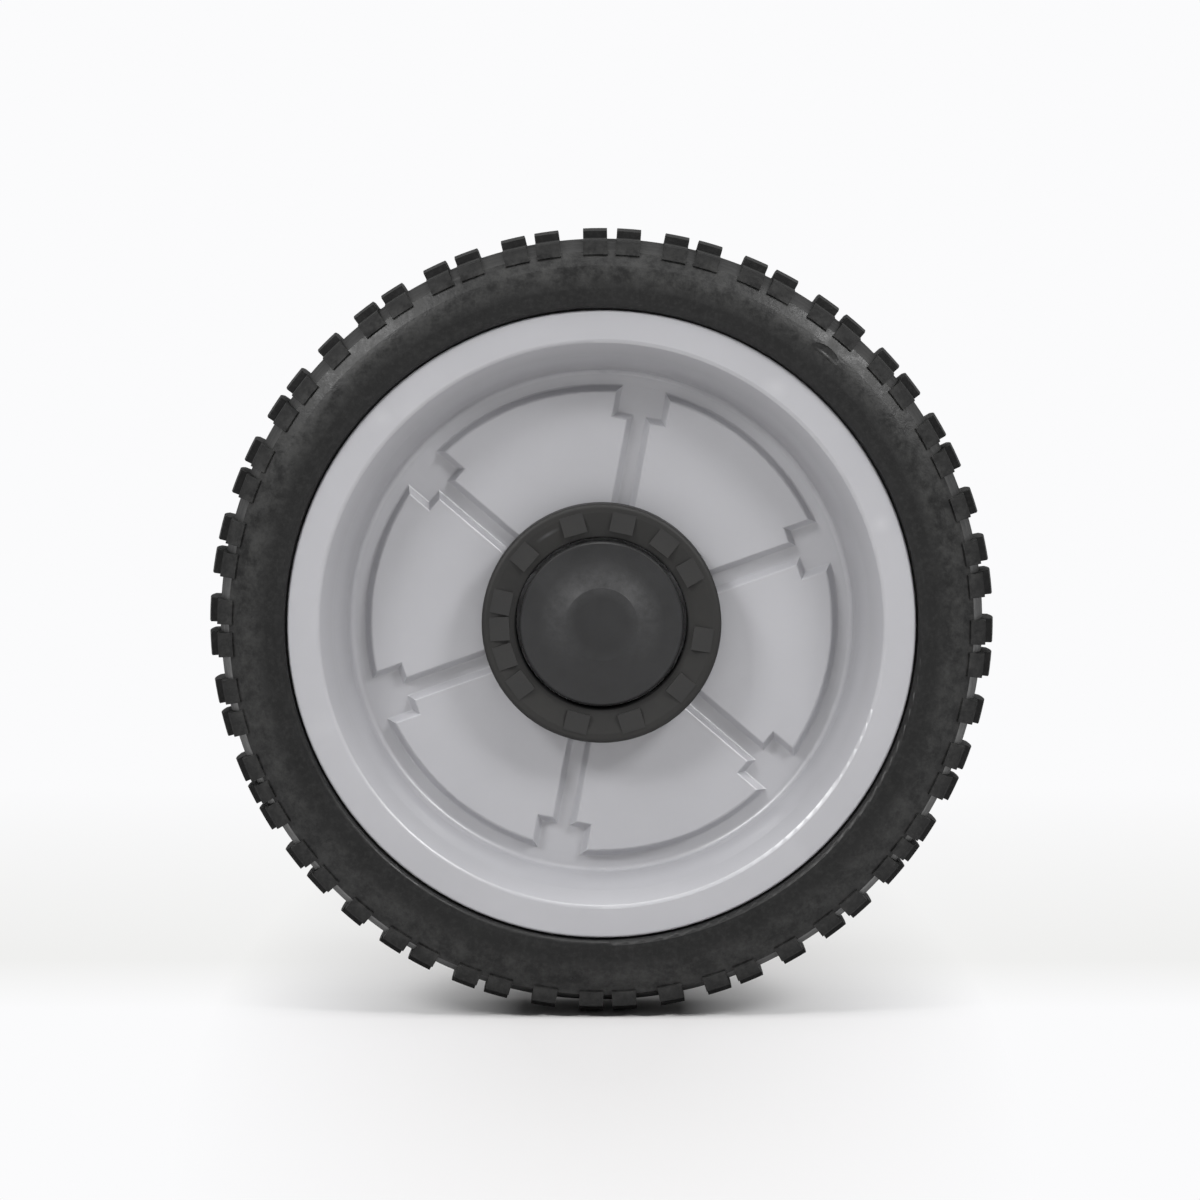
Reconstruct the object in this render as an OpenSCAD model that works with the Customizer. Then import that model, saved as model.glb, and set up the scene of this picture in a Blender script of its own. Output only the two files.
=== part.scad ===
// Wheel for a lawn mower or a like garden machine, 200 mm across.
// A rubber tyre with blocks round its tread sits on a moulded disc. The disc turns on two
// shielded ball bearings, and a collar and a domed cap close the hub on the outer side.
// The axle lies along Y, the capped side looks towards -Y and the origin is the centre of
// the wheel. Each piece is drawn round +Z, with +Z towards the cap, and then laid on the axle.

/* [Tyre] */
// Diameter of the wheel over the tops of the lugs
tyre_d = 200; // [180:1:240]
// Width of the tyre over its sidewalls
tyre_w = 45; // [42:0.5:56]
// Height of the tyre from the edge of the rim to the tops of the lugs
tyre_h = 20.6; // [19:0.2:24]
// How far the sidewall stands out past the lip of the rim
tyre_bulge = 1.5; // [0.5:0.1:2.5]
// How far each edge of the tread lies inside the sidewall, across the wheel
shoulder_in = 3.3; // [2.8:0.1:4]
// Radius of the curved sidewall, seen in section
side_round = 16; // [13:0.5:18]
// Width of the straight flank between the curved sidewall and the shoulder
flank_w = 3; // [2:0.1:4]
// Radius across the crown of the tread, seen in section
crown_round = 60; // [50:1:90]
// Radius of the rounded bead beside the lip
bead_r = 1.5; // [0.8:0.1:2]
// Height of the lugs over the tread between them
lug_h = 2.7; // [1.5:0.1:3.5]
// Length of a lug along the tread
lug_len = 6.1; // [4.5:0.1:6.6]
// Length of the middle lug of a three
mid_lug_len = 4.7; // [3.5:0.1:5.2]
// Angle from one lug of a pair to the other
pair_angle = 5; // [4.6:0.1:6]
// Angle from the first to the last lug of a three
triple_angle = 8.1; // [7.8:0.1:9]
// Angle of the first lug, anticlockwise from +X
first_lug = 5.9; // [0:0.1:10]
// Width of the row of lugs along the crown of the tread
crown_w = 19; // [14:0.5:22]
// Width of the groove between the crown row and a shoulder row
row_gap = 1.1; // [0.6:0.1:2]
// Height of a shoulder lug over the edge of the shoulder
side_lug_h = 3; // [2:0.1:3.4]
// How much higher a shoulder lug is beside the crown row
side_lug_rise = 0.4; // [0:0.1:0.8]
// Bevel on the outer edge of a shoulder lug
lug_bevel = 0.4; // [0.2:0.1:0.8]
// How far a shoulder lug stands out past the edge of the shoulder
lug_stand = 0.2; // [0.1:0.1:0.5]
// How far a shoulder lug reaches down the flank
lug_foot = 1.1; // [0.6:0.1:1.6]
// Height of the foot of a shoulder lug over the flank
lug_foot_h = 0.5; // [0.3:0.1:0.8]
// Depth of the key inside the tyre that locks it to the rim
key_h = 1.2; // [0.8:0.1:1.6]
// Width of the key inside the tyre
key_w = 5; // [3:0.5:10]
// Angle of the nick in the sidewall, anticlockwise from +X
nick_angle = 50.5; // [0:0.5:360]
// Distance of the nick from the edge of the shoulder, towards the axle
nick_in = 4.5; // [3.8:0.1:7]
// Length of the nick
nick_len = 6.5; // [4:0.5:8]
// Depth of the nick
nick_d = 0.7; // [0.3:0.1:0.9]
// Radius of the rounded bottom of the nick
nick_round = 1.6; // [1:0.1:2.5]

/* [Rim and dish] */
// Height of the lips of the rim over the seat of the tyre
lip_h = 4; // [3:0.1:5]
// Width of the front lip, its rounded inner edge with it
lip_face = 7.9; // [7:0.1:9]
// Radius of the rounded edge from the lip into the dish
lip_round = 1.4; // [0.8:0.1:2.4]
// Radius on the outer edges of the lips and on the front end of the hub
lip_edge_round = 0.6; // [0.3:0.1:1]
// Wall of the moulded disc
wall = 3; // [2.4:0.1:3.4]
// Depth of the dish from the lip to its floor
dish_depth = 17; // [14:0.5:18]
// How much the wall of the dish draws in from top to foot
dish_run = 7.4; // [6.6:0.1:8.4]
// How much of that lies in the lower, steeper half of the wall
dish_foot_run = 1.2; // [0.6:0.1:2]
// Radius of the bend between the two halves of the wall
dish_bend = 24; // [10:1:26]
// Radius of the rounded foot of the dish wall
foot_round = 1.5; // [1:0.1:2]
// Width of the bare floor between the dish wall and the panels
floor_w = 4; // [3:0.1:6]

/* [Panels] */
// Number of raised panels
panels = 6; // [4:1:8]
// Height of the panels over the floor
panel_h = 2.6; // [1.6:0.1:3]
// Width of the channel between two panels, at the top
channel_w = 6.1; // [5:0.1:8]
// Width of the notch at the outer end of a channel, at the top
notch_w = 14; // [11:0.2:18]
// Length of the notch along the radius
notch_len = 7.1; // [5:0.1:10]
// How much each panel wall leans out from top to foot
panel_draft = 1.4; // [1:0.1:1.6]
// Radius on the edges and at the feet of the outer walls of the panels
panel_round = 0.7; // [0.4:0.1:0.9]
// Radius on the edges and at the feet of the walls of channels and notches
channel_round = 0.6; // [0.3:0.1:0.8]
// Angle of the first channel, anticlockwise from +X
first_channel = 19.5; // [0:0.5:45]

/* [Back of the disc] */
// Thickness of the ribs behind the disc
rib_t = 2.5; // [2:0.1:4]
// Depth of the ribs behind the disc at the hub
rib_hub = 21; // [15:0.5:24]
// Depth of the ribs behind the disc at the rim
rib_rim = 15; // [8:0.5:18]
// Wall of the hub round the bearings
hub_wall = 4; // [3:0.1:5]
// How far the hub stands out behind the rim
hub_reach = 4; // [2:0.5:8]
// Height of the hub over the face of the front bearing
hub_cover = 0.8; // [0.4:0.1:1.6]
// Radius of the fillet between the hub and the disc, behind it
hub_fillet = 3; // [1:0.5:5]
// Radius on the edges behind the disc
back_round = 1; // [0.5:0.1:1.4]
// Radius at the bottom of the valley between the dish and the rim, behind
valley_round = 0.5; // [0.3:0.1:0.8]
// Height of the shoulders in the hub that the bearings stop at
stop_h = 2; // [1:0.1:2.3]

/* [Bearings] */
// Diameter of the axle bore
axle_d = 12; // [11.6:0.1:12.2]
// Outer diameter of a bearing
bearing_d = 28; // [27.6:0.1:29]
// Width of a bearing
bearing_w = 8; // [7.6:0.1:9]
// Diameter of the balls
ball_d = 4.762; // [4.4:0.001:4.8]
// Number of balls in a bearing
ball_count = 8; // [7:1:8]
// Diameter of the circle through the ball centres
pitch_d = 20; // [19.8:0.05:20.2]
// Height of the inner race over the axle bore
inner_race_h = 2.4; // [2.2:0.05:2.5]
// Height of the outer race inside the outer diameter
outer_race_h = 2.4; // [2.2:0.05:2.5]
// Radius on the outer edges of a bearing
race_round = 0.5; // [0.3:0.1:0.8]
// Height of the steps in the outer race that the shields seat on
shield_seat_h = 0.9; // [0.7:0.1:1.1]
// Depth of those steps from the faces of the bearing
shield_seat_d = 0.9; // [0.7:0.1:1.1]
// Thickness of the bearing shields
shield_t = 0.35; // [0.25:0.05:0.4]
// Width of the flat rim of a shield
shield_rim = 0.6; // [0.4:0.1:0.8]
// Width of the slope between the rim and the middle of a shield
shield_slope = 0.5; // [0.3:0.1:0.7]
// How far the middle of a shield stands out past its rim
shield_step = 0.2; // [0.1:0.05:0.3]
// Thickness of the sheet steel of the ball cage
cage_t = 0.4; // [0.3:0.05:0.5]
// Width of the band of the ball cage
cage_w = 2.1; // [1.8:0.1:2.3]
// Diameter of the rivets of the ball cage
rivet_d = 0.7; // [0.5:0.05:0.8]
// Diameter of the heads of those rivets
rivet_head_d = 1.3; // [1.1:0.1:1.6]
// Height of the heads of those rivets
rivet_head_h = 0.25; // [0.2:0.05:0.4]
// Wall of the spacer sleeve between the bearings
sleeve_t = 2; // [1.5:0.1:2.3]

/* [Collar and cap] */
// Depth of the face of the collar behind the front lip
collar_sink = 5; // [3:0.5:6]
// Width of the face of the collar
collar_w = 8.7; // [8:0.1:11]
// Radius of the rounded outer edge of the collar
collar_round = 1.2; // [0.8:0.1:1.6]
// Radius on the inner edge of the collar and in the corner under its rim
collar_in_round = 0.3; // [0.2:0.1:0.5]
// Width of the flat rim of the collar, its rounded edge with it
collar_rim = 2.3; // [2:0.1:3]
// How far the face of the collar falls from its rim towards the cap
collar_drop = 1.3; // [0.6:0.1:1.6]
// Wall of the collar and of the cap
cap_wall = 1.7; // [1.4:0.1:2]
// Width of the dark gap between the cap and the collar
cap_gap = 0.8; // [0.5:0.1:1.2]
// How far the cap stands out past the wall of its skirt
cap_rim = 1.1; // [0.8:0.1:2]
// Height of the middle of the cap over the rim of the collar
cap_rise = 3.4; // [2.6:0.1:5]
// Height of the edge of the cap over the rim of the collar
cap_edge_h = 0.5; // [0:0.1:0.8]
// Diameter of the flat disc in the middle of the cap
cap_flat_d = 18.4; // [14:0.2:20]
// Radius of the hollow slope from the flat disc to the edge of the cap, seen in section
cap_hollow_r = 45; // [35:1:90]
// Bevel on the edge of the cap
cap_bevel = 0.5; // [0.2:0.1:0.8]
// Height from the front bearing to the underside of the cap
nut_room = 8; // [6:0.1:9]
// Length of a small block on the collar, along the radius
block_len = 5; // [4:0.1:5.2]
// Width of a small block on the collar
block_w = 6; // [4:0.1:6.2]
// Height of the small blocks over the rim of the collar
block_h = 0.15; // [0.1:0.05:0.4]
// How far the small blocks reach onto the rim of the collar
block_lap = 0.3; // [0.1:0.1:0.8]
// Number of claws that hold the collar to the disc
claws = 3; // [2:1:4]
// Distance of the claws from the inner wall of the collar
claw_inset = 1.8; // [1:0.1:2.4]
// Width of a claw
claw_w = 7; // [5:0.5:8]
// Thickness of a claw
claw_t = 1.8; // [1.4:0.1:2]
// How far the hook of a claw reaches past the claw
claw_hook = 1.1; // [0.8:0.1:1.4]
// Length of the hook of a claw behind the disc
claw_tip = 3; // [2:0.1:4]

/* [Fits] */
// Gap between the tyre and its seat on the rim
tyre_fit = 0.1; // [0.05:0.05:0.2]
// Gap that shows between the bead and the lip
bead_gap = 0.5; // [0.3:0.1:0.8]
// Gap between a bearing and its seat in the hub
seat_fit = 0.02; // [0.01:0.01:0.05]
// Gap between the balls and their tracks, and between balls and cage
ball_fit = 0.1; // [0.05:0.01:0.1]
// Gap between a rivet and its hole in the ball cage
rivet_fit = 0.02; // [0.01:0.01:0.04]
// Gap between a shield and its seat in the outer race
shield_fit = 0.05; // [0.02:0.01:0.08]
// Gap between a shield and the inner race
shield_gap = 0.15; // [0.1:0.05:0.3]
// Gap between a skirt or claw and what holds it
clip_fit = 0.1; // [0.05:0.05:0.2]
// Gap under the collar and the cap
cap_clear = 0.3; // [0.2:0.05:0.3]

/* [Hidden] */

$fn = 96;
// Sides of the large circle that cuts the slope of the cap
fine_fn = 720;
// How far a cutter or a root reaches past the face that it has to cross
eps = 0.5;
// Height of a cutter over the face that its rounded edge runs out on
skim = 0.003;
// How far what rounds a corner reaches past the corner
past = 0.2;
// Share of its radius by which a rounding is pushed past the sides of its corner, so that it
// crosses them and doesn't graze them
graze = 1 / 500;
// Depth of the roots of the lugs in the tread
lug_root = 5;
// Number of cone bands that make the crown of the tread and that of a lug, on each side
crown_bands = 6;
lug_bands = 2;

// Tyre and tread
shoulder_w = tyre_w - 2 * shoulder_in;
tread_r = tyre_d / 2 - lug_h;
crown_in_r = tread_r - crown_round;
shoulder_r = crown_at(shoulder_w / 2);
side_centre_z = tyre_w / 2 - side_round;
side_rise = shoulder_w / 2 - side_centre_z;
side_reach = sqrt(pow(side_round, 2) + pow(flank_w, 2) - pow(side_rise, 2));
side_centre_r = shoulder_r - side_reach;
// Angle of the flank's outward normal from the radius
flank_turn = atan2(side_rise, side_reach) + atan(flank_w / side_round);
flank_out = [cos(flank_turn), sin(flank_turn)];
flank_down = [-sin(flank_turn), cos(flank_turn)];
lug_end_z = shoulder_w / 2 + lug_stand;
lug_root_r = shoulder_r - lug_root;
lug_top_r = shoulder_r + side_lug_h;
row_z = crown_w / 2 + row_gap;
nick_r = shoulder_r - nick_in;
// Radius of the scoop that leaves a nick of this length and depth
nick_scoop = (pow(nick_len / 2, 2) + pow(nick_d, 2)) / (2 * nick_d);
// How many lugs stand together, round the tread: mostly pairs, with some single ones and threes
lug_groups = [
    2, 1, 2, 2, 2, 2, 2, 2, 2, 2, 2, 1, 2, 2, 2, 2, 2, 3, 2, 1, 2, 2, 1, 2, 1, 2, 1, 2, 3, 2, 1, 2,
];
group_gap = (360 - total([for (n = lug_groups) span(n)])) / len(lug_groups);

// Rim and dish. The wall of the dish flares: it leans more in its upper half than in its lower.
rim_w = tyre_w - 2 * tyre_bulge;
front_z = rim_w / 2;
lip_r = tyre_d / 2 - tyre_h;
seat_r = lip_r - lip_h;
barrel_r = seat_r - wall;
floor_z = front_z - dish_depth;
back_z = floor_z - wall;
panel_z = floor_z + panel_h;
bend_z = floor_z + dish_depth / 2;
dish_top_r = lip_r - lip_face;
foot_r = dish_top_r - dish_run;
bend_r = foot_r + dish_foot_run;
lower_lean = dish_foot_run / (bend_z - floor_z);
upper_lean = (dish_run - dish_foot_run) / (front_z - bend_z);
// Heights and radii of the wall's outer side, which runs parallel to its inner side
bend_out_z = bend_z - (leaning(upper_lean) - leaning(lower_lean)) / (upper_lean - lower_lean);
bend_out_r = bend_r + leaning(lower_lean) + lower_lean * (bend_out_z - bend_z);
foot_out_r = foot_r + leaning(lower_lean) - lower_lean * wall;
top_out_r = bend_r + leaning(upper_lean) + upper_lean * (front_z - wall - bend_z);
barrel_meet_z = bend_z + (barrel_r - bend_r - leaning(upper_lean)) / upper_lean;
// The bend is no larger than its wall has room for
bend_turn = atan(upper_lean) - atan(lower_lean);
bend_room = dish_depth / 2 - foot_round;
bend_round = min(dish_bend, bend_room / tan(bend_turn / 2));

// Panels
panel_r = foot_r - floor_w - panel_draft;
panel_foot_r = panel_r + panel_draft;
notch_r = panel_r - notch_len;
channel_step = 360 / panels;

// Hub and bearings
bearing_r = bearing_d / 2;
hub_r = bearing_r + hub_wall;
collar_z = front_z - collar_sink;
cap_top_z = collar_z + cap_rise;
front_face_z = cap_top_z - cap_wall - nut_room;
hub_top_z = front_face_z + hub_cover;
hub_end_z = -front_z - hub_reach;
front_bearing_z = front_face_z - bearing_w / 2;
rear_bearing_z = hub_end_z + bearing_w / 2;
pitch_r = pitch_d / 2;
track_r = ball_d / 2 + ball_fit;
inner_land_r = axle_d / 2 + inner_race_h;
outer_land_r = bearing_r - outer_race_h;
shield_seat_r = outer_land_r + shield_seat_h;
shield_seat_z = bearing_w / 2 - shield_seat_d;
// How far the inner corners of a shield's slope lie inside its outer ones, for an even sheet
shield_bend = shield_t * tan(atan(shield_step / shield_slope) / 2);

// Collar and cap
skirt_r = hub_r + clip_fit;
cap_r = skirt_r + cap_wall + cap_rim;
collar_in_r = cap_r + cap_gap;
collar_r = collar_in_r + collar_w;
skirt_end_z = panel_z + cap_clear;
claw_r = collar_in_r + cap_wall + claw_inset;
block_r = collar_r - collar_rim - block_len + block_lap;
collar_under_z = collar_z - collar_drop - cap_wall;
cap_under_z = collar_z - cap_wall;
cap_edge_z = collar_z + cap_edge_h;
// Angles of the small blocks round the collar, anticlockwise from +X
block_angles = [30, 52, 78, 106, 139, 168, 183, 199, 217, 256, 287, 321, 351];

// Sum of a list
function total(v, i = 0) = i < len(v) ? v[i] + total(v, i + 1) : 0;

// Angle from the first to the last lug of a group of n
function span(n) = n == 1 ? 0 : n == 2 ? pair_angle : triple_angle;

// Angle of the first lug of group k
function group_start(k) =
    k == 0 ? first_lug : group_start(k - 1) + span(lug_groups[k - 1]) + group_gap;

// Radius of the tread at height z, or of what lies above it by h
function crown_at(z, h = 0) = crown_in_r + sqrt(pow(crown_round + h, 2) - pow(z, 2));

// Points along the crown of the tread from one height to another
function crown_line(from, to, h, steps) =
    [for (i = [0:steps]) let (z = from + (to - from) * i / steps) [crown_at(z, h), z]];

// Radius at height z of the line that the flank lies on
function flank_at(z) =
    side_centre_r + (side_round - (z - side_centre_z) * flank_out.y) / flank_out.x;

// Height of the curved sidewall at radius r
function side_at(r) = side_centre_z + sqrt(pow(side_round, 2) - pow(r - side_centre_r, 2));

// Width along the radius of a wall that leans by so much for each millimetre of height
function leaning(lean) = wall * sqrt(1 + pow(lean, 2));

function unit(v) = v / norm(v);

function flat(p) = [p.x, p.y];

// Twice the area of an outline, positive when it runs anticlockwise
function winding(v) =
    total([for (i = [0:len(v) - 1]) cross(flat(v[i]), flat(v[(i + 1) % len(v)]))]);

// What rounds the corner at b, between a and c, with radius r: the ground from the centre of
// the arc to just past the corner, less the circle
module corner_piece(a, b, c, r) {
    u = unit(flat(a) - flat(b));
    v = unit(flat(c) - flat(b));
    half = acos(u * v) / 2;
    centre = flat(b) + unit(u + v) * r / sin(half);
    start = flat(b) + u * r / tan(half);
    end = flat(b) + v * r / tan(half);
    difference() {
        polygon([
            centre,
            start + unit(start - centre) * past,
            flat(b) + unit(flat(b) - centre) * past / sin(half),
            end + unit(end - centre) * past,
        ]);
        translate(centre - unit(u + v) * r * graze / sin(half)) circle(r = r);
    }
}

// Fills an outline from corners [x, y], or [x, y, radius] where the corner is round. An outer
// corner loses what lies past its arc, and an inner corner gains it.
module outline(points) {
    n = len(points);
    side = winding(points) > 0 ? 1 : -1;
    before = [for (i = [0:n - 1]) points[(i + n - 1) % n]];
    after = [for (i = [0:n - 1]) points[(i + 1) % n]];
    outer = [for (i = [0:n - 1])
        side * cross(flat(points[i]) - flat(before[i]), flat(after[i]) - flat(points[i])) > 0];
    difference() {
        union() {
            polygon([for (p = points) flat(p)]);
            for (i = [0:n - 1]) if (len(points[i]) == 3 && !outer[i])
                corner_piece(before[i], points[i], after[i], points[i].z);
        }
        for (i = [0:n - 1]) if (len(points[i]) == 3 && outer[i])
            corner_piece(before[i], points[i], after[i], points[i].z);
    }
}

// Turns an outline of [radius, height] corners round the axle
module turned(points) rotate_extrude() outline(points);

// Lays what is drawn round +Z on the axle, with +Z towards the cap
module on_axle() rotate([90, 0, 0]) children();

// Tyre

// Half of the section of the tyre, without its lugs
module half_section()
    intersection() {
        outline([
            [seat_r + tyre_fit - key_h, -eps],
            [seat_r + tyre_fit - key_h, key_w / 2 - tyre_fit],
            [seat_r + tyre_fit, key_w / 2 - tyre_fit],
            [seat_r + tyre_fit, front_z - wall - tyre_fit],
            [lip_r + bead_gap, front_z - wall - tyre_fit],
            [lip_r + bead_gap, tyre_w / 2, bead_r],
            [flank_at(tyre_w / 2), tyre_w / 2, side_round],
            [flank_at(-eps), -eps],
        ]);
        polygon(concat(
            [[crown_in_r, -eps], [tread_r, -eps]],
            crown_line(0, tyre_w / 2, 0, crown_bands),
            [[crown_in_r, tyre_w / 2]]
        ));
    }

module carcass()
    rotate_extrude() union() {
        half_section();
        mirror([0, 1]) half_section();
    }

// A lug seen along the axle, from its root to past the crown
module lug_outline(length)
    translate([lug_root_r - eps, -length / 2]) square([tyre_d / 2 + 2 * eps - lug_root_r, length]);

// All the lugs seen along the axle, in groups round the tread
module lug_outlines()
    for (k = [0:len(lug_groups) - 1])
        for (i = [0:lug_groups[k] - 1])
            rotate(group_start(k) + i * span(lug_groups[k]) / max(1, lug_groups[k] - 1))
                lug_outline(lug_groups[k] == 3 && i == 1 ? mid_lug_len : lug_len);

// Half of the section of the rings that the lugs are cut from: crown row and shoulder row
module half_lug_section() {
    edge = [shoulder_r, shoulder_w / 2] + lug_foot * flank_down;
    polygon(concat(
        [[lug_root_r, -eps]],
        crown_line(-eps, crown_w / 2, lug_h, lug_bands),
        [[lug_root_r, crown_w / 2]]
    ));
    polygon([
        [lug_root_r, row_z],
        [lug_top_r + side_lug_rise, row_z],
        [lug_top_r, lug_end_z - lug_bevel],
        [lug_top_r - lug_bevel, lug_end_z],
        edge + lug_foot_h * flank_out,
        edge - eps * flank_out,
        [lug_root_r, row_z + eps],
    ]);
}

module lugs()
    intersection() {
        rotate_extrude() union() {
            half_lug_section();
            mirror([0, 1]) half_lug_section();
        }
        translate([0, 0, -tyre_w / 2]) linear_extrude(tyre_w) lug_outlines();
    }

// What a knock took out of the sidewall: the bite of a round-edged disc that lies along it
module nick()
    rotate(nick_angle) translate([nick_r, 0, side_at(nick_r)])
        rotate([0, acos((nick_r - side_centre_r) / side_round) - 90, 0])
            rotate([90, 0, 90]) translate([0, nick_scoop - nick_d, 0])
                rotate_extrude() translate([nick_scoop - nick_round, 0]) circle(r = nick_round);

module tyre()
    color("#323233") on_axle() difference() {
        union() {
            carcass();
            lugs();
        }
        nick();
    }

// Disc

module disc_shell()
    turned(concat(
        [
            [lip_r, front_z, lip_edge_round],
            [dish_top_r, front_z, lip_round],
            [bend_r, bend_z, bend_round],
            [foot_r, floor_z, foot_round],
            [hub_r, floor_z],
            [hub_r, hub_top_z, lip_edge_round],
            [bearing_r + seat_fit, hub_top_z],
            [bearing_r + seat_fit, front_face_z - bearing_w],
            [bearing_r - stop_h, front_face_z - bearing_w],
            [bearing_r - stop_h, hub_end_z + bearing_w],
            [bearing_r + seat_fit, hub_end_z + bearing_w],
            [bearing_r + seat_fit, hub_end_z],
            [hub_r, hub_end_z, back_round],
            [hub_r, back_z, hub_fillet],
            [foot_out_r, back_z, back_round],
            [bend_out_r, bend_out_z, bend_round - wall],
        ],
        barrel_meet_z < front_z - wall
            ? [[barrel_r, barrel_meet_z, valley_round]]
            : [[top_out_r, front_z - wall, valley_round], [barrel_r, front_z - wall, valley_round]],
        [
            [barrel_r, -front_z, back_round],
            [lip_r, -front_z, lip_edge_round],
            [lip_r, -front_z + wall],
            [seat_r, -front_z + wall],
            [seat_r, -key_w / 2],
            [seat_r - key_h, -key_w / 2],
            [seat_r - key_h, key_w / 2],
            [seat_r, key_w / 2],
            [seat_r, front_z - wall],
            [lip_r, front_z - wall],
        ]
    ));

// The raised disc that the channels divide into panels
module panel_plate()
    turned([
        [hub_r - eps, floor_z - eps],
        [panel_foot_r + eps, floor_z - eps],
        [panel_foot_r + eps, floor_z],
        [panel_foot_r, floor_z, panel_round],
        [panel_r, panel_z, panel_round],
        [hub_r - eps, panel_z],
    ]);

// Section across a channel or notch of top width w
module channel_section(w)
    outline([
        [-w / 2 - eps, panel_z + eps],
        [-w / 2 - eps, panel_z + skim],
        [-w / 2, panel_z + skim, channel_round],
        [-w / 2 + panel_draft, floor_z, channel_round],
        [w / 2 - panel_draft, floor_z, channel_round],
        [w / 2, panel_z + skim, channel_round],
        [w / 2 + eps, panel_z + skim],
        [w / 2 + eps, panel_z + eps],
    ]);

// Section along the radius through the closed end of a notch
module notch_end()
    outline([
        [notch_r - eps, panel_z + eps],
        [notch_r - eps, panel_z + skim],
        [notch_r, panel_z + skim, channel_round],
        [notch_r + panel_draft, floor_z, channel_round],
        [panel_foot_r + panel_round + eps, floor_z],
        [panel_foot_r + panel_round + eps, panel_z + eps],
    ]);

// Draws a section standing across the radius and runs it from one radius to another
module along_radius(from, to)
    translate([from, 0, 0]) rotate([90, 0, 90]) linear_extrude(to - from) children();

module channel() {
    along_radius(collar_in_r, notch_r + panel_draft + eps) channel_section(channel_w);
    intersection() {
        along_radius(notch_r - eps, panel_foot_r + panel_round + eps) channel_section(notch_w);
        translate([0, notch_w / 2 + eps, 0]) rotate([90, 0, 0])
            linear_extrude(notch_w + 2 * eps) notch_end();
    }
}

module each_channel()
    for (k = [0:panels - 1]) rotate(first_channel + k * channel_step) children();

module each_claw()
    for (k = [0:claws - 1]) rotate(first_channel + channel_step / 2 + k * 360 / claws) children();

// Hollows behind the panels, which keep the wall even
module panel_cores()
    translate([0, 0, back_z - eps]) linear_extrude(panel_h + eps) difference() {
        circle(r = panel_r - wall);
        circle(r = collar_r + wall);
        each_channel() {
            translate([0, -channel_w / 2 - wall]) square([panel_r, channel_w + 2 * wall]);
            translate([notch_r - wall, -notch_w / 2 - wall]) square([panel_r, notch_w + 2 * wall]);
        }
    }

// A rib from the hub to the rim, rooted in the wall of the dish
module rib()
    rotate([90, 0, 0]) translate([0, 0, -rib_t / 2]) linear_extrude(rib_t) polygon([
        [hub_r - eps, back_z + eps],
        [foot_r + wall / 2, back_z + eps],
        [bend_r + wall / 2, bend_z],
        [barrel_r + eps, min(barrel_meet_z, front_z - wall) + eps],
        [barrel_r + eps, back_z - rib_rim],
        [hub_r - eps, back_z - rib_hub],
    ]);

module claw_slot()
    translate([claw_r - clip_fit - claw_hook, -claw_w / 2 - clip_fit, back_z - eps])
        cube([claw_t + claw_hook + 2 * clip_fit, claw_w + 2 * clip_fit, panel_z - back_z + 2 * eps]);

module wheel_disc()
    color("#b6b5b9") on_axle() difference() {
        union() {
            disc_shell();
            panel_plate();
            each_channel() rib();
        }
        each_channel() channel();
        panel_cores();
        each_claw() claw_slot();
    }

// Collar and cap

module claw()
    translate([0, claw_w / 2, 0]) rotate([90, 0, 0]) linear_extrude(claw_w) polygon([
        [claw_r, collar_under_z + cap_wall / 2],
        [claw_r + claw_t, collar_under_z + cap_wall / 2],
        [claw_r + claw_t, back_z - clip_fit],
        [claw_r + claw_t + claw_hook, back_z - clip_fit],
        [claw_r + claw_t, back_z - claw_tip],
        [claw_r, back_z - claw_tip],
    ]);

// The blocks stand on the sloping face and rise just over the rim
module block()
    translate([block_r, -block_w / 2, collar_under_z + cap_wall / 2])
        cube([block_len, block_w, collar_z + block_h - collar_under_z - cap_wall / 2]);

module hub_collar()
    color("#343435") on_axle() union() {
        turned([
            [collar_in_r, skirt_end_z],
            [collar_in_r + cap_wall, skirt_end_z],
            [collar_in_r + cap_wall, collar_under_z],
            [collar_r - cap_wall, collar_under_z, collar_in_round],
            [collar_r - cap_wall, skirt_end_z],
            [collar_r, skirt_end_z],
            [collar_r, collar_z, collar_round],
            [collar_r - collar_rim, collar_z],
            [collar_in_r, collar_z - collar_drop, collar_in_round],
        ]);
        for (a = block_angles) rotate(a) block();
        each_claw() claw();
    }

// Centre of the circle that cuts the hollow slope
function hollow_centre() =
    let (
        from = [cap_flat_d / 2, cap_top_z],
        to = [cap_r, cap_edge_z],
        along = unit(to - from),
        half = norm(to - from) / 2
    )
    (from + to) / 2 + [-along.y, along.x] * sqrt(pow(cap_hollow_r, 2) - pow(half, 2));

module hub_cap()
    color("#3a3a3c") on_axle() rotate_extrude() difference() {
        polygon([
            [0, cap_top_z],
            [cap_r, cap_top_z],
            [cap_r, cap_under_z],
            [skirt_r + cap_wall, cap_under_z],
            [skirt_r + cap_wall, skirt_end_z],
            [skirt_r, skirt_end_z],
            [skirt_r, cap_under_z],
            [cap_flat_d / 2, cap_top_z - cap_wall],
            [0, cap_top_z - cap_wall],
        ]);
        translate(hollow_centre()) circle(r = cap_hollow_r, $fn = fine_fn);
        polygon([
            [cap_r - 2 * cap_bevel, cap_edge_z + cap_bevel],
            [cap_r + cap_bevel, cap_edge_z - 2 * cap_bevel],
            [cap_r + cap_bevel, cap_edge_z + cap_bevel],
        ]);
    }

// Bearings, each drawn about its own middle plane

module track() translate([pitch_r, 0]) circle(r = track_r);

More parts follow.
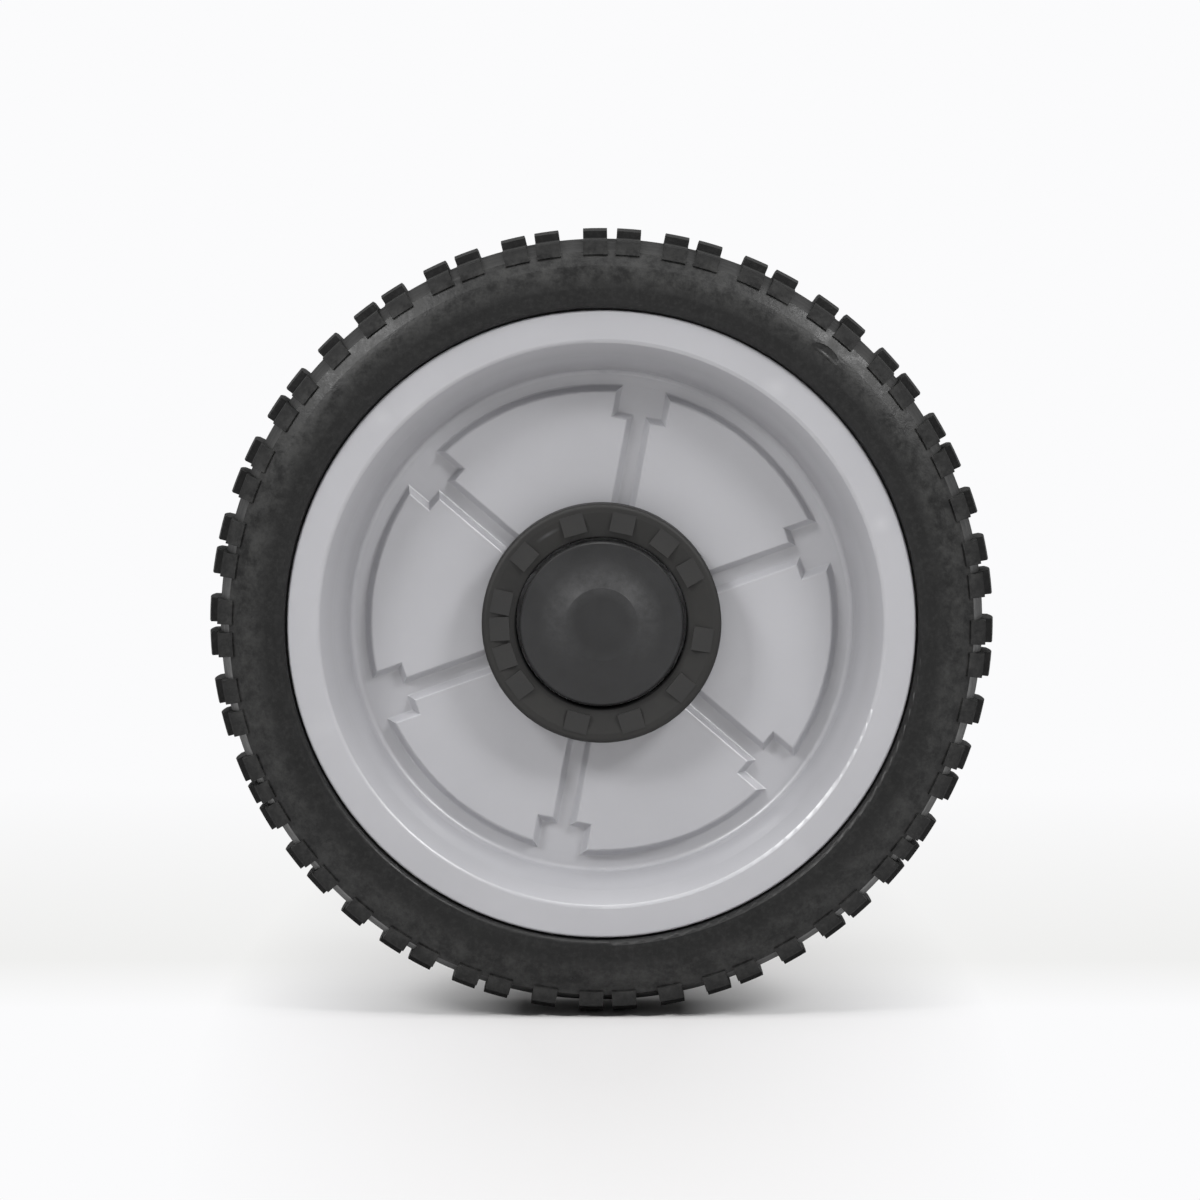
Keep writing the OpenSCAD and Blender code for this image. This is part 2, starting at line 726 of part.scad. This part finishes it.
module outer_race()
    color("#c4c7cb") rotate_extrude() difference() {
        outline([
            [outer_land_r, -shield_seat_z],
            [shield_seat_r, -shield_seat_z],
            [shield_seat_r, -bearing_w / 2],
            [bearing_r, -bearing_w / 2, race_round],
            [bearing_r, bearing_w / 2, race_round],
            [shield_seat_r, bearing_w / 2],
            [shield_seat_r, shield_seat_z],
            [outer_land_r, shield_seat_z],
        ]);
        track();
    }

module inner_race()
    color("#c4c7cb") rotate_extrude() difference() {
        polygon([
            [axle_d / 2, -bearing_w / 2],
            [inner_land_r, -bearing_w / 2],
            [inner_land_r, bearing_w / 2],
            [axle_d / 2, bearing_w / 2],
        ]);
        track();
    }

module each_ball(offset = 0)
    for (k = [0:ball_count - 1])
        rotate((k + offset) * 360 / ball_count) translate([pitch_r, 0, 0]) children();

module balls() color("#d5d8dc") each_ball() sphere(d = ball_d);

// Half of the riveted cage: a flat ribbon with a pocket round each ball
module cage_half()
    color("#a9a7a2") difference() {
        intersection() {
            rotate_extrude() translate([pitch_r - cage_w / 2, 0]) square([cage_w, ball_d]);
            union() {
                cylinder(r = bearing_r, h = cage_t);
                each_ball() sphere(r = track_r + cage_t);
            }
        }
        each_ball() sphere(r = track_r);
        each_ball(0.5) translate([0, 0, -eps])
            cylinder(d = rivet_d + 2 * rivet_fit, h = cage_t + 2 * eps);
    }

// Rivets with a head on each side, halfway between the balls
module cage_rivets()
    color("#a9a7a2") each_ball(0.5) {
        translate([0, 0, -cage_t - rivet_head_h])
            cylinder(d = rivet_d, h = 2 * (cage_t + rivet_head_h));
        for (side = [0, 1]) mirror([0, 0, side])
            translate([0, 0, cage_t]) cylinder(d = rivet_head_d, h = rivet_head_h);
    }

// A ring of sheet steel, stepped out from its flat rim to its middle
module shield() {
    z = shield_seat_z + shield_fit;
    in_r = inner_land_r + shield_gap;
    out_r = shield_seat_r - shield_fit;
    rim_r = out_r - shield_rim;
    color("#b9bcc0") rotate_extrude() polygon([
        [out_r, z],
        [out_r, z + shield_t],
        [rim_r, z + shield_t],
        [rim_r - shield_slope, z + shield_t + shield_step],
        [in_r, z + shield_t + shield_step],
        [in_r, z + shield_step],
        [rim_r - shield_slope - shield_bend, z + shield_step],
        [rim_r - shield_bend, z],
    ]);
}

module spacer_sleeve()
    color("#b4b8bd") on_axle() rotate_extrude() polygon([
        [axle_d / 2, hub_end_z + bearing_w],
        [axle_d / 2 + sleeve_t, hub_end_z + bearing_w],
        [axle_d / 2 + sleeve_t, front_face_z - bearing_w],
        [axle_d / 2, front_face_z - bearing_w],
    ]);

// In the hub: the front bearing as drawn, the rear one turned round
module at_front() on_axle() translate([0, 0, front_bearing_z]) children();
module at_rear() on_axle() translate([0, 0, rear_bearing_z]) mirror([0, 0, 1]) children();
module inward() mirror([0, 0, 1]) children();

tyre();
wheel_disc();
hub_collar();
hub_cap();
spacer_sleeve();
at_front() outer_race();  // front_outer_race
at_front() inner_race();  // front_inner_race
at_front() balls();  // front_balls
at_front() cage_half();  // front_cage_outer_half
at_front() inward() cage_half();  // front_cage_inner_half
at_front() cage_rivets();  // front_cage_rivets
at_front() shield();  // front_outer_shield
at_front() inward() shield();  // front_inner_shield
at_rear() outer_race();  // rear_outer_race
at_rear() inner_race();  // rear_inner_race
at_rear() balls();  // rear_balls
at_rear() cage_half();  // rear_cage_outer_half
at_rear() inward() cage_half();  // rear_cage_inner_half
at_rear() cage_rivets();  // rear_cage_rivets
at_rear() shield();  // rear_outer_shield
at_rear() inward() shield();  // rear_inner_shield
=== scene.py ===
"""Looks of the wheel: camera, light, floor and the finish of every piece.

The wheel stands upright, its axle along Y and its capped side towards -Y, where the camera
is. Places and lengths are metres. Names that end in _MM, and distances from the axle in the
materials, are millimetres.
"""

import math

import bpy
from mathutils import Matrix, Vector


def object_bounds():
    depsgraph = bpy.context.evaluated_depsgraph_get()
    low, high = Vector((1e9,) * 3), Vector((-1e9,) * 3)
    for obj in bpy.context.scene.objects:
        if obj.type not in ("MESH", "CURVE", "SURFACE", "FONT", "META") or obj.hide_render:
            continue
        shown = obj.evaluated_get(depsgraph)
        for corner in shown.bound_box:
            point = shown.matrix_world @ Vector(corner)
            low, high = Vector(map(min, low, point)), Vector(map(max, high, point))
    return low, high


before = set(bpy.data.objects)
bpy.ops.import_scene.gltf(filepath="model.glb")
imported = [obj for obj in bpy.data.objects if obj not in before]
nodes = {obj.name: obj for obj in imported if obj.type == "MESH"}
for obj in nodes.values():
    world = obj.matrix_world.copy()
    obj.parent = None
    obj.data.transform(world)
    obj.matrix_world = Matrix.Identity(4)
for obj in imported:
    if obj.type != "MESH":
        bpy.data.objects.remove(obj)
cad_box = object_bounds()
bpy.ops.object.select_all(action="DESELECT")


def foremost(name):
    """The place along the axle of a node's point that is nearest to the camera."""
    return round(min(vertex.co.y for vertex in nodes[name].data.vertices), 5)


WHEEL_RADIUS = round(max(cad_box[1]), 3)
LIP_PLANE = foremost("wheel_disc")
BLOCK_TOPS = foremost("hub_collar")

# Bands round the axle, in mm: where a band starts, where it ends, and over what it fades out
TYRE_SHOULDER_MM = (88.0, 94.0, 3.5)
TYRE_BEAD_MM = (79.5, 81.6, 0.8)
DISH_WALL_MM = (64.5, 68.5, 2.5)
CAP_FLANK_MM = (10.0, 12.5, 3.5)
# The gap between cap and collar, with a little of both its edges, which is painted dark as its shade
CAP_GAP_MM = (20.75, 22.05, 0.2)

# Settings that many nodes share
MULTIPLY = {"operation": "MULTIPLY"}
MAXIMUM = {"operation": "MAXIMUM"}
COLOUR = {"data_type": "RGBA"}
# The span in which most of a noise lies, and a wider one that brings out less of it
NOISE_SPAN = {"From_Min": 0.3, "From_Max": 0.7}
WIDE_SPAN = {"From_Min": 0.2, "From_Max": 0.8}


# Colours and node trees

def rgb(code):
    """Turns an sRGB hex colour such as "b4b4b8" to linear red, green, blue and alpha."""
    parts = [int(code[i:i + 2], 16) / 255 for i in (0, 2, 4)]
    return [c / 12.92 if c < 0.04045 else ((c + 0.055) / 1.055) ** 2.4 for c in parts] + [1.0]


def per_mm(size):
    """Scale of a pattern on Object coordinates whose features are so many millimetres across."""
    return 1000.0 / size


def add(tree, kind, settings=None, **inputs):
    """Adds a node to a tree. An input is named by its socket, or i0, i1 and so on by its number.
    A value is set on the socket, and a socket, or a node's first one, is linked to it."""
    node = tree.nodes.new("ShaderNode" + kind)
    for key, value in (settings or {}).items():
        setattr(node, key, value)
    for key, value in inputs.items():
        socket = node.inputs[int(key[1:]) if key[1:].isdigit() else key.replace("_", " ")]
        if isinstance(value, bpy.types.Node):
            tree.links.new(value.outputs[0], socket)
        elif isinstance(value, bpy.types.NodeSocket):
            tree.links.new(value, socket)
        else:
            socket.default_value = value
    return node


def new_material(name):
    material = bpy.data.materials.new(name)
    material.use_nodes = True
    material.node_tree.nodes.clear()
    return material, material.node_tree


def wear(obj, material):
    obj.data.materials.clear()
    obj.data.materials.append(material)


def finish_surface(tree, colour, roughness, height, depth_mm, **sockets):
    """Ends a material in a Principled shader with a fine relief."""
    relief = add(tree, "Bump", Strength=1.0, Distance=depth_mm / 1000, Height=height)
    shader = add(tree, "BsdfPrincipled", Base_Color=colour, Roughness=roughness,
                 Normal=relief, **sockets)
    add(tree, "OutputMaterial", Surface=shader)


def axle_place(tree):
    """The plain Object coordinates of a point, and its distance from the axle in mm."""
    place = add(tree, "TexCoord").outputs["Object"]
    flat = add(tree, "VectorMath", MULTIPLY, i0=place, i1=(1000.0, 0.0, 1000.0))
    distance = add(tree, "VectorMath", {"operation": "LENGTH"}, i0=flat).outputs["Value"]
    return place, distance


def spot(tree, place, angle, radius_mm, plane, size_mm):
    """A soft round patch that fades out over size_mm. It is at an angle anticlockwise from +X
    and a distance from the axle, in a plane at a place along it."""
    turn = math.radians(angle)
    centre = (radius_mm * math.cos(turn) / 1000, plane, radius_mm * math.sin(turn) / 1000)
    away = add(tree, "VectorMath", {"operation": "DISTANCE"}, i0=place, i1=centre)
    return add(tree, "MapRange", Value=away.outputs["Value"], From_Min=size_mm / 1000, From_Max=0.0)


def ring(tree, distance, band_mm):
    """A band round the axle that fades on either side."""
    start, end, fade = band_mm
    inner = add(tree, "MapRange", Value=distance, From_Min=start - fade, From_Max=start)
    outer = add(tree, "MapRange", Value=distance, From_Min=end + fade, From_Max=end)
    return add(tree, "Math", MULTIPLY, i0=inner, i1=outer)


# Moulded rubber

RUBBER_DARK = "121212"
RUBBER_LIGHT = "1b1b1b"
# The colour of dust, also used on the shoulder as a painted sheen
RUBBER_DUST_AND_SHEEN = "444443"
RUBBER_CLOUD_MM = 12
RUBBER_BLOTCH_MM = 4
# The real grain is finer than the picture can show, so it is drawn this coarse
RUBBER_GRAIN_MM = 1.1
RUBBER_RELIEF_MM = 0.06
# How much of the dust's colour single specks and the whole patches on the shoulder take on; the
# patches are partly dust and partly a painted sheen
SPECK_STRENGTH = 0.25
PATCH_STRENGTH = 0.5
# Roughness of clean and of dusty rubber, and what rubbing takes off each
RUBBER_ROUGHNESS = {"To_Min": 0.62, "To_Max": 0.78}
RUBBED_OFF = {"To_Min": 0.4, "To_Max": 0.22}


def moulded_rubber():
    """Moulded black rubber: matt and a little mottled. The shoulder and the bead are rubbed
    smoother, so they catch the light. On the shoulder, lighter dust-coloured blotches are partly
    fine dust and partly a painted sheen where the lamps catch it."""
    material, tree = new_material("moulded_rubber")
    place, distance = axle_place(tree)
    clouds = add(tree, "TexNoise", Vector=place, Scale=per_mm(RUBBER_CLOUD_MM), Detail=5.0,
                 Roughness=0.65)
    blotches = add(tree, "TexNoise", Vector=place, Scale=per_mm(RUBBER_BLOTCH_MM), Detail=5.0,
                   Roughness=0.7)
    grain = add(tree, "TexNoise", Vector=place, Scale=per_mm(RUBBER_GRAIN_MM), Detail=3.0,
                Roughness=0.6)
    shoulder = ring(tree, distance, TYRE_SHOULDER_MM)
    rubbed = add(tree, "Math", MAXIMUM, i0=shoulder, i1=ring(tree, distance, TYRE_BEAD_MM))

    mottle = add(tree, "MapRange", Value=clouds, **NOISE_SPAN)
    specks = add(tree, "MapRange", Value=grain, From_Min=0.45, From_Max=0.8, To_Max=SPECK_STRENGTH)
    patches = add(tree, "MapRange", Value=blotches, From_Min=0.4, From_Max=0.65,
                  To_Max=PATCH_STRENGTH)
    # Painted sheen: the lighter blotches on the shoulder are partly dust and partly stand in for the
    # light the shoulder catches
    dust_and_sheen = add(tree, "Math", MULTIPLY, i0=patches, i1=shoulder)
    colour = add(tree, "Mix", COLOUR, i0=mottle, i6=rgb(RUBBER_DARK), i7=rgb(RUBBER_LIGHT)).outputs[2]
    colour = add(tree, "Mix", COLOUR, i0=specks, i6=colour, i7=rgb(RUBBER_DUST_AND_SHEEN)).outputs[2]
    colour = add(tree, "Mix", COLOUR, i0=dust_and_sheen, i6=colour, i7=rgb(RUBBER_DUST_AND_SHEEN)).outputs[2]

    matt = add(tree, "MapRange", Value=blotches, **WIDE_SPAN, **RUBBER_ROUGHNESS)
    shine = add(tree, "MapRange", Value=blotches, **WIDE_SPAN, **RUBBED_OFF)
    gloss = add(tree, "Math", MULTIPLY, i0=rubbed, i1=shine)
    roughness = add(tree, "Math", {"operation": "SUBTRACT"}, i0=matt, i1=gloss)
    finish_surface(tree, colour, roughness, grain, RUBBER_RELIEF_MM, IOR=1.5, Specular_IOR_Level=0.3)
    return material


# Moulded grey polypropylene

GREY_DARK = "acacb0"
GREY_LIGHT = "b8b8bc"
# The colour of the painted shade on the dish's wall
GREY_DISH_SHADE = "8e8e92"
GREY_SCUFFED = "d2d2d4"
GREY_CLOUD_MM = 30
# The fine grain of the mould would not show at its real size, so it is drawn this coarse
GREY_GRAIN_MM = 0.9
GREY_RELIEF_MM = 0.004
GREY_ROUGHNESS = 0.34
SCUFF_ROUGHNESS = 0.4
SCUFF_STRENGTH = 0.3
SCUFF_CLOUD_MM = 6
# Scuffs on the front lip: angle anticlockwise from +X, and distance from the axle and size in mm
SCUFFS = [(54, 74.0, 4), (131, 74.5, 5), (137, 76.0, 4), (200, 75.5, 5), (310, 76.3, 4), (20, 75.0, 3)]
# The painted shade in the dish is weak up to the first height, and has its full strength from the
# second, so it is darker towards the top, under the lip
DISH_SHADE_HEIGHTS = {"From_Min": -0.03, "From_Max": 0.06}
DISH_SHADE_STRENGTH = {"To_Min": 0.2, "To_Max": 0.4}


def moulded_grey_polypropylene():
    """Injection-moulded light grey polypropylene: satin, with very soft clouds. A thin band of
    painted shade lies on the dish's wall, darker towards the top under the lip, and a few paler
    and duller scuffs on the lip."""
    material, tree = new_material("moulded_grey_polypropylene")
    place, distance = axle_place(tree)
    clouds = add(tree, "TexNoise", Vector=place, Scale=per_mm(GREY_CLOUD_MM), Detail=3.0)
    grain = add(tree, "TexNoise", Vector=place, Scale=per_mm(GREY_GRAIN_MM), Detail=2.0)
    worn = add(tree, "TexNoise", Vector=place, Scale=per_mm(SCUFF_CLOUD_MM), Detail=0.0)
    height = add(tree, "SeparateXYZ", Vector=place).outputs["Z"]

    # Painted shade on the dish's wall, stronger towards the top
    strength = add(tree, "MapRange", Value=height, **DISH_SHADE_HEIGHTS, **DISH_SHADE_STRENGTH)
    dish_shade = add(tree, "Math", MULTIPLY, i0=ring(tree, distance, DISH_WALL_MM), i1=strength)
    patches = 0.0
    for angle, radius_mm, size_mm in SCUFFS:
        patch = spot(tree, place, angle, radius_mm, LIP_PLANE, size_mm)
        patches = add(tree, "Math", MAXIMUM, i0=patches, i1=patch)
    uneven = add(tree, "MapRange", Value=worn, **WIDE_SPAN)
    scuffed = add(tree, "Math", MULTIPLY, i0=patches, i1=uneven)
    paler = add(tree, "Math", MULTIPLY, i0=scuffed, i1=SCUFF_STRENGTH)
    colour = add(tree, "Mix", COLOUR, i0=clouds, i6=rgb(GREY_DARK), i7=rgb(GREY_LIGHT)).outputs[2]
    colour = add(tree, "Mix", COLOUR, i0=dish_shade, i6=colour, i7=rgb(GREY_DISH_SHADE)).outputs[2]
    colour = add(tree, "Mix", COLOUR, i0=paler, i6=colour, i7=rgb(GREY_SCUFFED)).outputs[2]

    roughness = add(tree, "MapRange", Value=scuffed, To_Min=GREY_ROUGHNESS, To_Max=SCUFF_ROUGHNESS)
    finish_surface(tree, colour, roughness, grain, GREY_RELIEF_MM, IOR=1.49, Specular_IOR_Level=1.0)
    return material


# Moulded black polypropylene

# The colour of the lighter places on the collar, and of the painted highlight on the cap
BLACK_LIGHTER = "444445"
# Painted shade in the gap between cap and collar
GAP_SHADE = "030303"
GAP_SHADE_ROUGHNESS = 0.9
BLACK_CLOUD_MM = 9
# The mould's matt texture is finer than the picture can show, so it is drawn this coarse
BLACK_GRAIN_MM = 0.7
BLACK_RELIEF_MM = 0.02
# The lightening of the collar's blocks is strong on their tops and ends just under them
BLOCK_LIGHTENING = {"To_Min": 0.22, "To_Max": 0.0}
BLOCK_LIGHTENING_PLANES = {"From_Min": BLOCK_TOPS - 0.00002, "From_Max": BLOCK_TOPS + 0.00006}
# The curved pale mark on the collar: the middle of it is at an angle anticlockwise from +X, at a
#  place along the axle and at a distance from it, and it fades out over its reach to either end
PALE_ARC_ANGLE = 121
PALE_ARC_PLANE = -0.0158
PALE_ARC_RADIUS_MM = 26.2
PALE_ARC_REACH_MM = 3.6
PALE_ARC_BAND_MM = (PALE_ARC_RADIUS_MM, PALE_ARC_RADIUS_MM + 0.2, 0.5)
# The painted highlight on the cap is faint up to the first height, and has its full strength from the
# second
CAP_HIGHLIGHT_HEIGHTS = {"From_Min": -0.01, "From_Max": 0.004, "To_Min": 0.1}
# It is weak between its patches and strong in them
CAP_HIGHLIGHT_PATCHES = {"To_Min": 0.1, "To_Max": 0.7}
CAP_BLOTCH_MM = 2.6


def collar_lighter_marks(tree, place, distance):
    """The tops of the collar's small raised blocks are drawn a little lighter, and so is a short
    curved mark between two of them."""
    depth = add(tree, "SeparateXYZ", Vector=place).outputs["Y"]
    tops = add(tree, "MapRange", Value=depth, **BLOCK_LIGHTENING_PLANES, **BLOCK_LIGHTENING)
    middle = spot(tree, place, PALE_ARC_ANGLE, PALE_ARC_RADIUS_MM, PALE_ARC_PLANE, PALE_ARC_REACH_MM)
    pale_arc = add(tree, "Math", MULTIPLY, i0=middle, i1=ring(tree, distance, PALE_ARC_BAND_MM))
    return add(tree, "Math", MAXIMUM, i0=tops, i1=pale_arc)


def cap_painted_highlight(tree, place, distance):
    """A painted highlight: a mottled lighter ring round the flat middle of the cap, mostly on its
    upper half, where the lamps above light it.
    """
    height = add(tree, "SeparateXYZ", Vector=place).outputs["Z"]
    blotches = add(tree, "TexNoise", Vector=place, Scale=per_mm(CAP_BLOTCH_MM), Detail=5.0,
                   Roughness=0.7)
    patches = add(tree, "MapRange", Value=blotches, **NOISE_SPAN, **CAP_HIGHLIGHT_PATCHES)
    upper = add(tree, "MapRange", Value=height, **CAP_HIGHLIGHT_HEIGHTS)
    # Painted highlight: lighter on the upper half of the ring, where the lamps above light it
    dust_and_sheen = add(tree, "Math", MULTIPLY, i0=ring(tree, distance, CAP_FLANK_MM), i1=upper)
    return add(tree, "Math", MULTIPLY, i0=dust_and_sheen, i1=patches)


def moulded_black_polypropylene(name, dark, light, roughness, marks):
    """Injection-moulded black polypropylene with a fine matt grain. The gap between cap and
    collar is painted dull and nearly black as its shade, and marks gives the places that are a
    little lighter."""
    material, tree = new_material(name)
    place, distance = axle_place(tree)
    clouds = add(tree, "TexNoise", Vector=place, Scale=per_mm(BLACK_CLOUD_MM), Detail=4.0,
                 Roughness=0.6)
    grain = add(tree, "TexNoise", Vector=place, Scale=per_mm(BLACK_GRAIN_MM), Detail=2.0)
    # Painted shade in the gap between cap and collar
    gap_shade = ring(tree, distance, CAP_GAP_MM)

    mottle = add(tree, "MapRange", Value=clouds, **NOISE_SPAN)
    lighter = marks(tree, place, distance)
    colour = add(tree, "Mix", COLOUR, i0=mottle, i6=rgb(dark), i7=rgb(light)).outputs[2]
    colour = add(tree, "Mix", COLOUR, i0=lighter, i6=colour, i7=rgb(BLACK_LIGHTER)).outputs[2]
    colour = add(tree, "Mix", COLOUR, i0=gap_shade, i6=colour, i7=rgb(GAP_SHADE)).outputs[2]

    matt = add(tree, "MapRange", Value=clouds, To_Min=roughness - 0.04, To_Max=roughness + 0.06,
               **NOISE_SPAN)
    dull = add(tree, "Math", MULTIPLY, i0=gap_shade, i1=GAP_SHADE_ROUGHNESS)
    finish_surface(tree, colour, add(tree, "Math", MAXIMUM, i0=matt, i1=dull), grain,
                   BLACK_RELIEF_MM, IOR=1.5, Specular_IOR_Level=0.5)
    return material


# Steel

STEEL_LIGHT = "d0d2d5"
STEEL_RELIEF_MM = 0.004


def steel(name, tint, roughness, grain_mm):
    """Bare steel with a fine unevenness in colour and gloss, as grinding, pressing or turning
    leaves it. It is drawn coarser than it is, so that it shows."""
    material, tree = new_material(name)
    place = add(tree, "TexCoord").outputs["Object"]
    grain = add(tree, "TexNoise", Vector=place, Scale=per_mm(grain_mm), Detail=2.0)
    mottle = add(tree, "MapRange", Value=grain, **NOISE_SPAN)
    colour = add(tree, "Mix", COLOUR, i0=mottle, i6=rgb(tint), i7=rgb(STEEL_LIGHT)).outputs[2]
    uneven = add(tree, "MapRange", Value=grain, To_Min=roughness, To_Max=roughness + 0.1, **NOISE_SPAN)
    finish_surface(tree, colour, uneven, grain, STEEL_RELIEF_MM, Metallic=1.0)
    return material


rubber = moulded_rubber()
grey = moulded_grey_polypropylene()
collar_black = moulded_black_polypropylene("moulded_black_polypropylene", dark="171615",
                                           light="201f1d", roughness=0.6, marks=collar_lighter_marks)
cap_black = moulded_black_polypropylene("satin_black_polypropylene", dark="1b1b1c",
                                        light="242425", roughness=0.4, marks=cap_painted_highlight)
race_steel = steel("ground_bearing_steel", "b4b7bb", roughness=0.28, grain_mm=0.6)
ball_steel = steel("polished_ball_steel", "cfd1d4", roughness=0.08, grain_mm=1.0)
sheet_steel = steel("pressed_sheet_steel", "a3a19d", roughness=0.42, grain_mm=0.8)
tube_steel = steel("turned_steel_tube", "b3b6ba", roughness=0.3, grain_mm=0.5)

for name, obj in nodes.items():
    if name == "tyre":
        wear(obj, rubber)
    elif name == "wheel_disc":
        wear(obj, grey)
    elif name == "hub_collar":
        wear(obj, collar_black)
    elif name == "hub_cap":
        wear(obj, cap_black)
    elif name == "spacer_sleeve":
        wear(obj, tube_steel)
    elif name.endswith("race"):
        wear(obj, race_steel)
    elif name.endswith("balls"):
        wear(obj, ball_steel)
    else:
        wear(obj, sheet_steel)


# Floor and backdrop

PAPER = "e0dfdf"
PAPER_SIZE = 12
WHITE = "fbfbfc"
# A slightly darker white, painted as shade behind the wheel
WHITE_SHADED_BEHIND = "f0f0ef"
# To the left and right of the wheel's middle the floor is lit paper out to the first of these
# distances, and its own white from the second on. To the front and back both are longer by a
# factor
PAPER_LIT = 0.02
PAPER_WHITE = 0.1
PAPER_REACH = 6.5
# A band of painted shade, a slightly darker white, lies behind the wheel. These are the places
#  along the axle where it starts, has its full strength, begins to fade and ends
SHADE_BAND_START, SHADE_BAND_FULL, SHADE_BAND_FADE, SHADE_BAND_END = 0.0, 0.1, 0.12, 0.6


def studio_white():
    """Pale paper sweep. Near the wheel it is lit paper, which keeps the shadow, and further
    away what is seen of it is its own white, so that it runs into the backdrop. Behind the
    wheel that white is a little darker, as painted shade."""
    material, tree = new_material("pale_paper_sweep")
    place = add(tree, "TexCoord").outputs["Object"]
    near = add(tree, "VectorMath", MULTIPLY, i0=place, i1=(1.0, 1 / PAPER_REACH, 0.0))
    away = add(tree, "VectorMath", {"operation": "LENGTH"}, i0=near).outputs["Value"]
    behind = add(tree, "SeparateXYZ", Vector=place).outputs["Y"]
    # Painted shade: the white is a little darker in a band behind the wheel
    grows = add(tree, "MapRange", Value=behind, From_Min=SHADE_BAND_START, From_Max=SHADE_BAND_FULL)
    fades = add(tree, "MapRange", Value=behind, From_Min=SHADE_BAND_END, From_Max=SHADE_BAND_FADE)
    shade_band = add(tree, "Math", MULTIPLY, i0=grows, i1=fades)
    tone = add(tree, "Mix", COLOUR, i0=shade_band, i6=rgb(WHITE), i7=rgb(WHITE_SHADED_BEHIND)).outputs[2]

    rays = add(tree, "LightPath").outputs
    seen = add(tree, "Math", MAXIMUM, i0=rays["Is Camera Ray"], i1=rays["Is Glossy Ray"])
    ground = add(tree, "MapRange", Value=away, From_Min=PAPER_LIT, From_Max=PAPER_WHITE)
    share = add(tree, "Math", MULTIPLY, i0=seen, i1=ground)
    paper = add(tree, "BsdfDiffuse", Color=rgb(PAPER))
    white = add(tree, "Emission", Color=tone, Strength=1.0)
    add(tree, "OutputMaterial", Surface=add(tree, "MixShader", i0=share, i1=paper, i2=white))
    return material


bpy.ops.mesh.primitive_plane_add(size=PAPER_SIZE, location=(0, 0, -WHEEL_RADIUS))
floor = bpy.context.active_object
floor.name = "paper_sweep"
floor.data.transform(floor.matrix_world)
floor.matrix_world.identity()
floor.data.materials.append(studio_white())


# Light

# Strength of the even light from all sides, and of the white that shiny surfaces mirror
ALL_ROUND = 0.24
MIRRORED = 0.55
# Soft boxes that face the wheel's middle: name, place, width and watts
SOFT_BOXES = [
    ("left_softbox", (-1.08, -0.95, 1.15), 0.42, 14.5),
    ("right_softbox", (1.08, -0.95, 1.15), 0.42, 14.5),
    ("overhead_softbox", (0.0, -0.35, 1.45), 0.7, 8),
    ("rear_softbox", (0.0, 2.4, 0.0), 0.13, 6),
]


def studio_world():
    """Soft white light from all round. The camera sees the backdrop's white instead."""
    world = bpy.data.worlds.new("studio")
    world.use_nodes = True
    tree = world.node_tree
    tree.nodes.clear()
    rays = add(tree, "LightPath").outputs
    seen = add(tree, "Math", MAXIMUM, i0=rays["Is Camera Ray"], i1=rays["Is Transmission Ray"])
    strength = add(tree, "MapRange", Value=rays["Is Glossy Ray"], To_Min=ALL_ROUND, To_Max=MIRRORED)
    soft = add(tree, "Background", Color=rgb("ffffff"), Strength=strength)
    white = add(tree, "Background", Color=rgb(WHITE), Strength=1.0)
    add(tree, "OutputWorld", Surface=add(tree, "MixShader", i0=seen, i1=soft, i2=white))
    return world


def turn_towards(place, target):
    """The turn of a lamp or camera at a place that looks at a target, with its top up."""
    return (Vector(target) - Vector(place)).to_track_quat("-Z", "Y").to_euler()


bpy.context.scene.world = studio_world()
for name, place, width, watts in SOFT_BOXES:
    bpy.ops.object.light_add(type="AREA", location=place)
    lamp = bpy.context.active_object
    lamp.name = name
    lamp.data.shape = "SQUARE"
    lamp.data.size = width
    lamp.data.energy = watts
    lamp.rotation_euler = turn_towards(place, (0, 0, 0))


# Camera

# It is this far in front of the lip and above the axle
CAMERA_AWAY = 1.5
CAMERA_UP = 0.1
# The point in the plane of the lip that is in the middle of the picture
AIM = (-0.00038, LIP_PLANE, 0.0063)
SENSOR_MM = 36
LENS_MM = 178.7

place = (0, LIP_PLANE - CAMERA_AWAY, CAMERA_UP)
bpy.ops.object.camera_add(location=place)
camera = bpy.context.active_object
camera.name = "photo_view"
camera.data.sensor_width = SENSOR_MM
camera.data.lens = LENS_MM
camera.rotation_euler = turn_towards(place, AIM)
bpy.context.scene.camera = camera
bpy.context.scene.view_settings.view_transform = "Standard"
